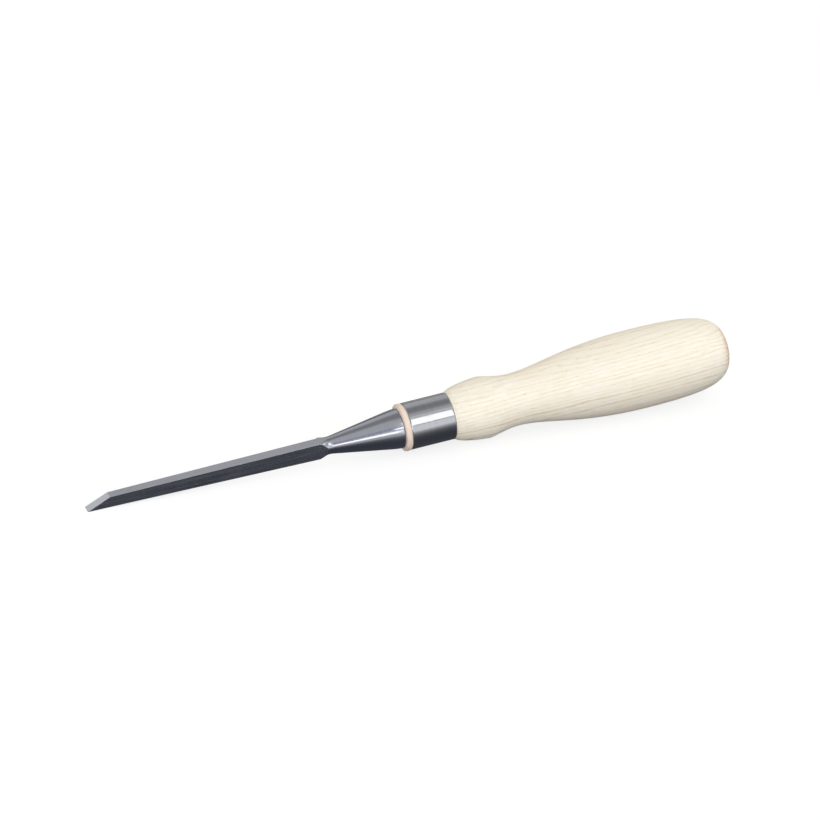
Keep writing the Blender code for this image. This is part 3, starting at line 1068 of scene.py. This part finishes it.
# %% Make the floor and the world
floor_reach = 3.0
floor_colour = (0.25, 0.25, 0.25)
floor_rough = 0.9
floor_glow = 0.785
ambient_light = 0.63
white = (1.0, 1.0, 1.0)
black = (0.0, 0.0, 0.0)


def seen_directly(tree):
    """1 for rays that show the background: from the camera, from a mirror or through glass."""
    path = add(tree, "LightPath").outputs
    mirrored_or_through = calculate(tree, "MAXIMUM", path["Is Glossy Ray"], path["Is Transmission Ray"])
    return calculate(tree, "MAXIMUM", path["Is Camera Ray"], mirrored_or_through)


def flat_sheet(name, half_along, half_across, height):
    """A level sheet round the origin: corners at plus and minus its two reaches."""
    signs = np.array([(-1, -1), (1, -1), (1, 1), (-1, 1)], dtype=float)
    corners = np.column_stack([signs * [half_along, half_across], np.full(4, height)])
    sheet = new_mesh_object(name, corners, [(0, 1, 2, 3)])
    return sheet


def floor_finish(tree):
    """Matt grey paper, with a white glow only where it is seen directly."""
    return {
        "Base Color": (*floor_colour, 1.0),
        "Roughness": floor_rough,
        "Specular IOR Level": 0.0,
        "Emission Color": (*white, 1.0),
        "Emission Strength": part_of(tree, seen_directly(tree), floor_glow),
    }


dress(flat_sheet("floor", floor_reach, floor_reach, 0.0), "floor_paper", floor_finish)

world = bpy.data.worlds.new("studio")
bpy.context.scene.world = world
world.use_nodes = True
tree = world.node_tree
strength = between(tree, seen_directly(tree), ambient_light, 1.0)
fill(tree, tree.nodes["Background"], {"Color": (*white, 1.0), "Strength": strength})
print(f"floor {2 * floor_reach:.0f} m wide, with an ambient light of {ambient_light}")

# %% [markdown]
# ## Where things stand round the chisel
# Lamps and cards are placed by the direction that they are seen in from the ferrule: how far round, and how
# high above the floor. Each one faces the ferrule.

# %% Directions round the chisel
ferrule_middle = Vector(to_world(np.array([(ferrule_front + ferrule_rear) / 2, 0.0, 0.0])))


def towards(azimuth, elevation):
    """A unit direction: azimuth from +Y towards +X, elevation above the floor, in degrees."""
    turn, rise = math.radians(azimuth), math.radians(elevation)
    return Vector((math.sin(turn) * math.cos(rise), math.cos(turn) * math.cos(rise), math.sin(rise)))


def stand(thing, azimuth, elevation, distance):
    """Places a lamp or a card in a direction from the ferrule, and turns it to face the ferrule."""
    direction = towards(azimuth, elevation)
    thing.location = ferrule_middle + distance * direction
    thing.rotation_euler = direction.to_track_quat("Z", "Y").to_euler()


print("the ferrule's middle is at", [round(value, 4) for value in ferrule_middle])

# %% [markdown]
# ## Cards for the steel
# Polished steel has no look of its own: it shows what is round it. In a white room it would be white all
# over, so a photographer puts cards round it. Only mirrors see these, so the picture, the floor and its
# shadow stay clean. The first card is dark and lies under the chisel. It is darkest close to it, where
# its glow is painted shade standing in for the chisel's shadow in the mirrored floor, and fades to white
# further off.

# %% Lay a card under the chisel
card_half_along, card_half_across = 240.0 * mm, 500.0 * mm
card_height = 0.05 * mm
card_near, card_far = 15.0 * mm, 138.0 * mm
card_behind = 0.22
card_fade = 0.72
under_dark = (0.105, 0.112, 0.135)
chisel_half = (cad_box[1][0] - cad_box[0][0]) / 2


def only_in_mirrors(card):
    """Hides a card from all but mirrors."""
    for sight in ("camera", "diffuse", "shadow", "transmission"):
        setattr(card, "visible_" + sight, False)


def paint_card(card, colour, share_of_white):
    """Gives a card a plain glow that goes from its colour to white by a share worked out from its place."""
    def card_finish(tree):
        """Black paint that gives off the card's glow."""
        place = add(tree, "TexCoord").outputs["Object"]
        glow = blended(tree, share_of_white(tree, place), colour, white)
        paint = {"Base Color": (*black, 1.0), "Specular IOR Level": 0.0}
        return {**paint, "Emission Color": glow, "Emission Strength": 1.0}

    dress(card, card.name + "_paint", card_finish)


def away_from_chisel(tree, place):
    """Share of white: it grows with the distance from the line that the chisel covers, slowly behind it."""
    in_front = vector_step(tree, "MULTIPLY", place, (1.0, -1.0, 1.0))
    behind = vector_step(tree, "MULTIPLY", place, (-1.0, card_behind, 1.0))
    folded = vector_step(tree, "MAXIMUM", in_front, behind)
    past = vector_step(tree, "SUBTRACT", folded, (chisel_half, 0.0, 0.0))
    away = length_of(tree, vector_step(tree, "MAXIMUM", past))
    return calculate(tree, "POWER", ranged(tree, away, card_near, card_far), card_fade)


# a dark sheet for the steel to mirror, whose darkening near the chisel is painted shade
under_card = flat_sheet("under_card", card_half_along, card_half_across, card_height)
only_in_mirrors(under_card)
paint_card(under_card, under_dark, away_from_chisel)

# %% [markdown]
# The other cards hang in the air and fade to white at their rims. A grey one overhead greys the tops of the
# ferrule and the bolster, one behind draws their dark upper edge, and a blue-grey one hangs in front of the
# camera.

# %% Hang the other cards
card_core = 0.35
card_distance = 1.0
overhead_grey = (0.53, 0.53, 0.54)
behind_grey = (0.20, 0.21, 0.23)
camera_side_grey = (0.60, 0.64, 0.82)


def hanging_card(name, azimuth, elevation, width, height, colour):
    """A card that faces the ferrule from a direction, in its colour at the middle and white at its rim."""
    card = flat_sheet(name, width / 2, height / 2, 0.0)
    stand(card, azimuth, elevation, card_distance)
    only_in_mirrors(card)

    def towards_rim(tree, place):
        """Share of white: the distance from the middle, as a share of the way to the rim."""
        shares = vector_step(tree, "DIVIDE", place, (width / 2, height / 2, 1.0))
        return ranged(tree, length_of(tree, shares), card_core, 1.0)

    paint_card(card, colour, towards_rim)
    print(f"{name}: {azimuth} degrees round and {elevation} degrees up")


hanging_card("overhead_card", 10.0, 71.0, 1.05, 1.05, overhead_grey)
hanging_card("behind_card", 357.0, 9.0, 1.05, 0.50, behind_grey)
hanging_card("camera_side_card", 192.0, 35.5, 0.42, 0.38, camera_side_grey)

# %% [markdown]
# ## Soft boxes
# The key box stands to the right of the camera and above it. It models the wood and puts the white band on
# the ferrule, and a faint glow over it softens the band's upper side. A box further right lights the
# shoulder of the blade. Below them a broad low strip gives the cool band under the white one. A brighter
# one beside it draws the streak along the bolster, and a small box above that puts the glint near the
# bolster's rim. Fill boxes on the left and right open the shadows. The last box is warm and stands behind.
# It lights the top of the wood, and mirrors don't see it, so the steel keeps its dark upper edge. A lamp's
# power is its brightness times pi times its area, so the boxes are set by how bright they look.

# %% Set up the soft boxes
lamp_distance = 0.90
cool = (0.91, 0.945, 1.0)
warm = (1.0, 0.84, 0.50)


def soft_box(name, azimuth, elevation, width, height, brightness, colour, in_mirrors=True):
    """A rectangular lamp that faces the ferrule from a direction, hidden from the camera."""
    lamp = bpy.data.lights.new(name, "AREA")
    lamp.shape = "RECTANGLE"
    lamp.size, lamp.size_y = width, height
    lamp.energy = brightness * math.pi * width * height
    lamp.color = colour
    box = new_object(name, lamp)
    stand(box, azimuth, elevation, lamp_distance)
    box.visible_camera = False
    box.visible_glossy = in_mirrors
    print(f"{name}: {lamp.energy:.2f} W from {azimuth} degrees round and {elevation} degrees up")


soft_box("key_box", 166.0, 45.0, 0.20, 0.46, 2.5, white)
soft_box("key_glow", 153.0, 67.0, 0.30, 0.13, 0.45, white)
soft_box("right_box", 112.0, 46.0, 0.30, 0.25, 2.4, white)
soft_box("low_strip", 160.0, 11.0, 0.56, 0.50, 0.82, cool)
soft_box("strip_core", 189.0, 14.5, 0.33, 0.19, 2.7, white)
soft_box("rim_glint", 179.0, 32.0, 0.13, 0.12, 3.2, white)
soft_box("left_fill", 222.0, 14.0, 0.62, 0.56, 3.4, white)
soft_box("right_fill", 108.0, 15.0, 0.60, 0.50, 2.0, white)
soft_box("back_fill", 355.0, 36.0, 0.50, 0.40, 2.1, warm, in_mirrors=False)

# %% [markdown]
# ## The camera
# The picture was taken from far away with a long lens, from the front left and well above. The camera is
# placed by its direction and distance, and aimed at a point beside the axis, so that the chisel sits in
# the frame as it does in the picture.

# %% Place the camera
camera_azimuth, camera_elevation = -19.79, 31.98
camera_distance = 5.0
sensor_width = 36.0
picture_pixels, pixels_per_metre = 820, 2521.2
aim_station = 135.0 * mm
aim_right, aim_up = 0.83 * mm, 6.34 * mm

camera_data = bpy.data.cameras.new("camera")
camera_data.sensor_width = sensor_width
frame_width = picture_pixels / pixels_per_metre
camera_data.lens = sensor_width * camera_distance / frame_width
camera = new_object("camera", camera_data)
backwards = towards(180.0 - camera_azimuth, camera_elevation)
turn = backwards.to_track_quat("Z", "Y")
aim = Vector(to_world(np.array([aim_station, 0.0, 0.0]))) + turn @ Vector((aim_right, aim_up, 0.0))
camera.location = aim + camera_distance * backwards
camera.rotation_euler = turn.to_euler()
bpy.context.scene.camera = camera
bpy.context.scene.view_settings.view_transform = "Standard"
print(f"lens {camera_data.lens:.0f} mm at {camera_distance} m")
